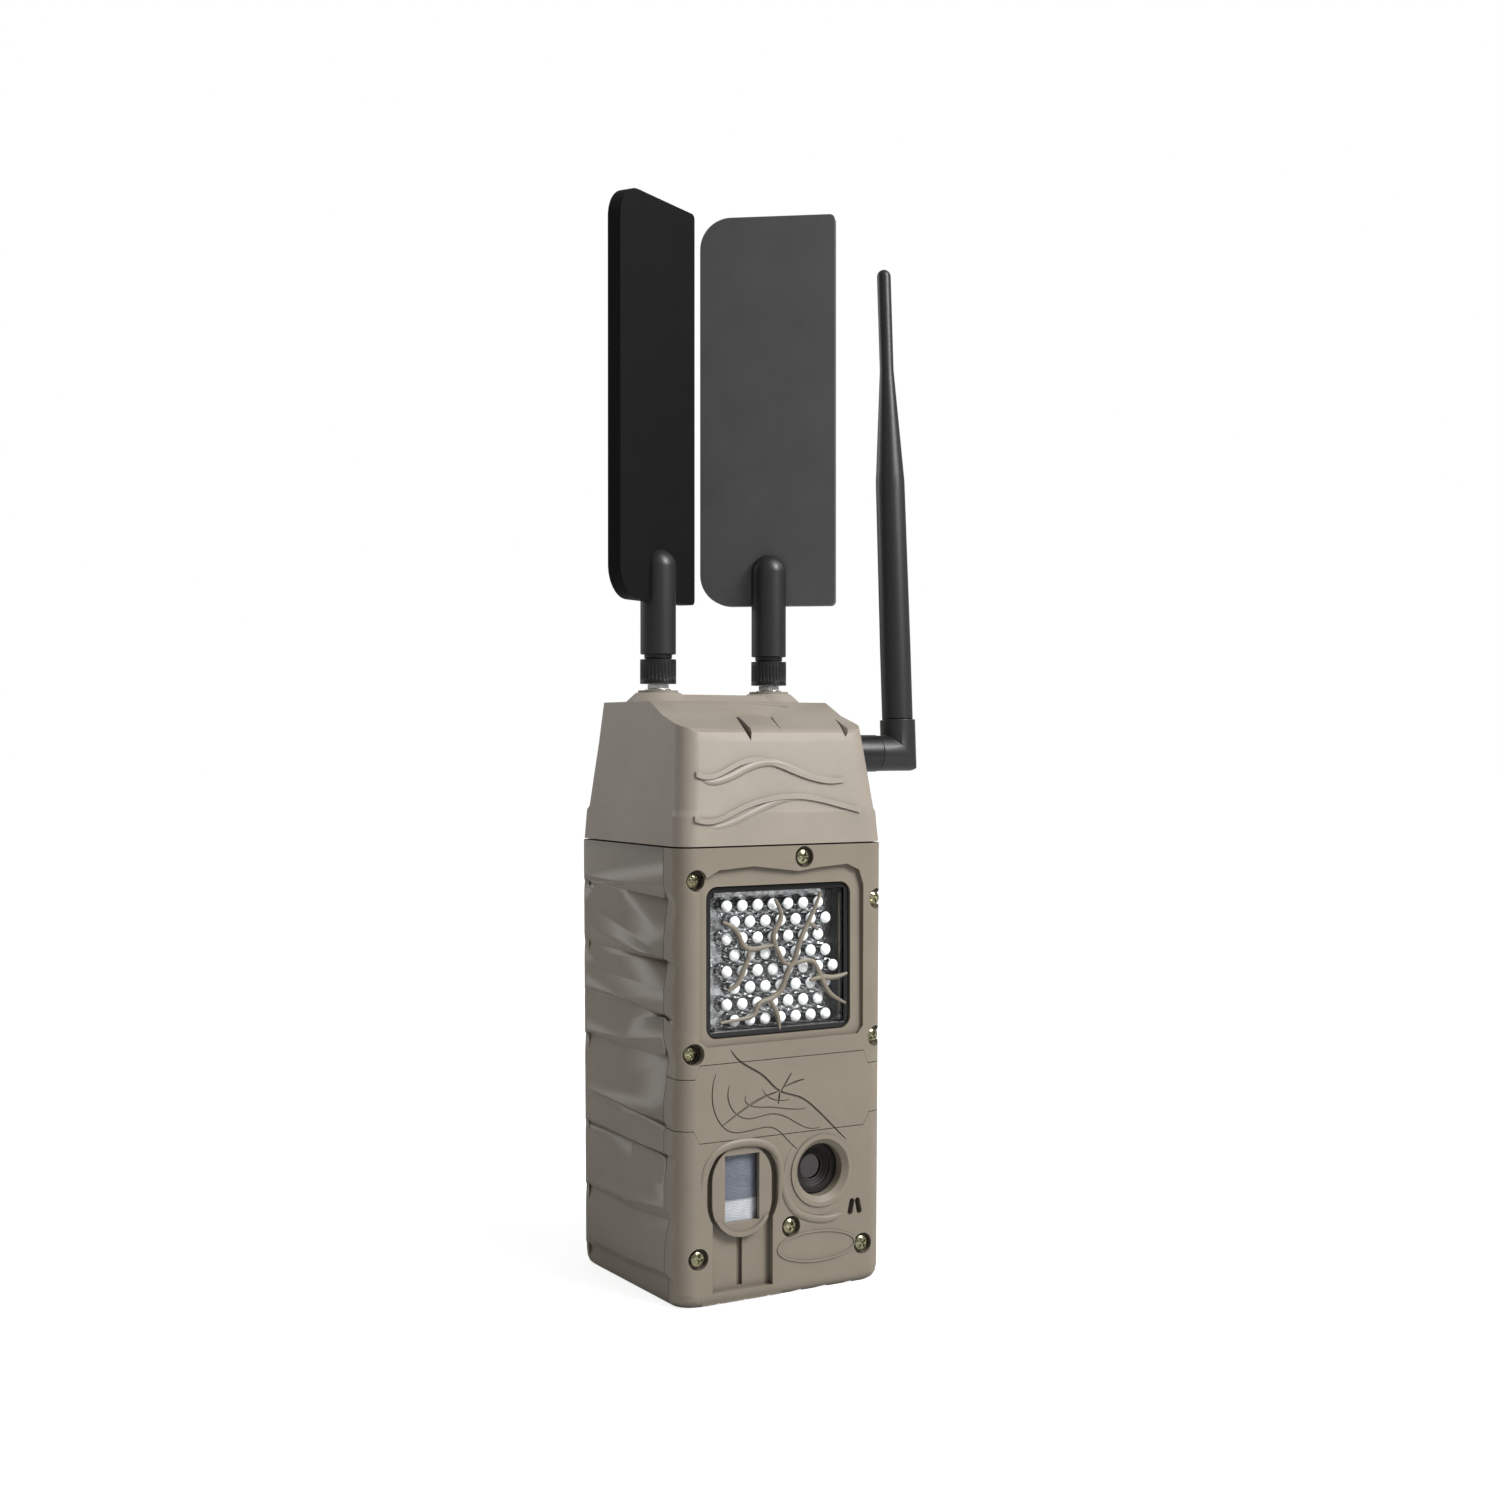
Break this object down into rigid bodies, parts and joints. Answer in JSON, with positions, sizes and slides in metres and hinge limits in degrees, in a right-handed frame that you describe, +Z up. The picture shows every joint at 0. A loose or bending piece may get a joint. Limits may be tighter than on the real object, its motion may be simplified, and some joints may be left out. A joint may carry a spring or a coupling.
{
  "type": "trail camera",
  "caption": "Tall weatherproof trail camera with a lamp window, motion sensor and lens on its front, paddle antennas on top, a whip antenna on its side and a rear battery door.",
  "frame": {"origin": "mouth of the tripod socket, in the middle of the flat bottom", "axes": "+Z up, the front with lens and lamps looks along -Y, +X is the viewer's right"},
  "size_m": [0.1288, 0.0932, 0.4152],
  "materials": {
    "case_plastic": "fine-textured taupe moulding",
    "cap_plastic": "fine-textured light taupe moulding",
    "antenna_plastic": "satin charcoal",
    "nut_plastic": "knurled black",
    "window_clear": "clear polycarbonate",
    "seal_rubber": "black seal",
    "led_clear": "clear epoxy lamps",
    "reflector": "vacuum-plated",
    "board": "solder-masked board",
    "screw_steel": "yellow-passivated steel",
    "fresnel": "milky blue-grey ribbed film",
    "dark_lens": "coated glass",
    "black_plastic": "black moulding",
    "sensor_metal": "plated can",
    "brass": "turned brass",
    "jack_metal": "nickel-plated brass",
    "cell_jacket": "printed steel can, plain",
    "display_glass": "reflective display",
    "button_rubber": "grey silicone",
    "card_plastic": "black card"
  },
  "bodies": {
    "camera_body": {"rear_case": "case_plastic", "strap_ears": "case_plastic", "upper_bezel": "case_plastic", "mid_cover": "case_plastic", "lower_bezel": "case_plastic", "top_cap": "cap_plastic", "cap_seal": "seal_rubber", "upper_screws": "screw_steel", "lower_screws": "screw_steel", "window_gasket": "seal_rubber", "flash_window": "window_clear", "flash_leds": "led_clear", "reflector_plate": "reflector", "led_board": "board", "lamp_housing": "black_plastic", "motion_lens": "fresnel", "motion_sensor": "sensor_metal", "sensor_board": "board", "lens_hood": "black_plastic", "lens_glass": "dark_lens", "lens_barrel": "black_plastic", "front_element": "dark_lens", "microphone": "black_plastic", "hinge_pins": "screw_steel", "tripod_socket": "brass", "antenna_jacks": "jack_metal", "jack_washers": "jack_metal", "jack_nuts": "jack_metal", "main_board": "board", "battery_tray": "black_plastic", "battery_cells": "cell_jacket", "cell_contacts": "brass", "control_panel": "black_plastic", "display": "display_glass", "control_board": "board", "card_socket": "sensor_metal", "modem_board": "board", "link_radio_board": "board"},
    "left_nut": {"left_nut": "nut_plastic"},
    "right_nut": {"right_nut": "nut_plastic"},
    "whip_nut": {"whip_nut": "nut_plastic"},
    "left_paddle": {"left_mast": "antenna_plastic", "left_blade": "antenna_plastic"},
    "right_paddle": {"right_mast": "antenna_plastic", "right_blade": "antenna_plastic"},
    "side_whip": {"whip_elbow": "antenna_plastic", "whip_rod": "antenna_plastic"},
    "zone_slider": {"zone_slider": "case_plastic"},
    "battery_door": {"battery_door": "case_plastic", "door_seal": "seal_rubber", "door_clip": "black_plastic"},
    "mode_button": {"mode_button": "button_rubber"},
    "more_button": {"more_button": "button_rubber"},
    "up_button": {"up_button": "button_rubber"},
    "memory_card": {"memory_card": "card_plastic"}
  },
  "joints": [
    {"name": "left_nut_spin", "type": "hinge", "parent": "camera_body", "child": "left_nut", "pos_m": [-0.025, 0.0117, 0.232], "axis": [0, 0, 1], "continuous": true},
    {"name": "left_paddle_swivel", "type": "hinge", "parent": "camera_body", "child": "left_paddle", "pos_m": [-0.025, 0.0117, 0.25], "axis": [0, 0, 1], "continuous": true},
    {"name": "right_nut_spin", "type": "hinge", "parent": "camera_body", "child": "right_nut", "pos_m": [0.025, 0.0117, 0.232], "axis": [0, 0, 1], "continuous": true},
    {"name": "right_paddle_swivel", "type": "hinge", "parent": "camera_body", "child": "right_paddle", "pos_m": [0.025, 0.0117, 0.25], "axis": [0, 0, 1], "continuous": true},
    {"name": "whip_nut_spin", "type": "hinge", "parent": "camera_body", "child": "whip_nut", "pos_m": [0.05, -0.014, 0.2005], "axis": [1, 0, 0], "continuous": true},
    {"name": "whip_swivel", "type": "hinge", "parent": "camera_body", "child": "side_whip", "pos_m": [0.06, -0.014, 0.2005], "axis": [1, 0, 0], "continuous": true},
    {"name": "zone_slide", "type": "slide", "parent": "camera_body", "child": "zone_slider", "axis": [0, 0, -1], "range_m": [0, 0.0175]},
    {"name": "door_hinge", "type": "hinge", "parent": "camera_body", "child": "battery_door", "pos_m": [0.039, 0.0457, 0.085], "axis": [0, 0, -1], "range_deg": [0, 90]},
    {"name": "mode_button_press", "type": "slide", "parent": "camera_body", "child": "mode_button", "axis": [0, -1, 0], "range_m": [0, 0.0008], "stiffness_N_per_m": 600, "springref_m": -0.0004},
    {"name": "more_button_press", "type": "slide", "parent": "camera_body", "child": "more_button", "axis": [0, -1, 0], "range_m": [0, 0.0008], "stiffness_N_per_m": 600, "springref_m": -0.0004},
    {"name": "up_button_press", "type": "slide", "parent": "camera_body", "child": "up_button", "axis": [0, -1, 0], "range_m": [0, 0.0008], "stiffness_N_per_m": 600, "springref_m": -0.0004},
    {"name": "card_eject", "type": "slide", "parent": "camera_body", "child": "memory_card", "axis": [0, 1, 0], "range_m": [0, 0.002]}
  ]
}
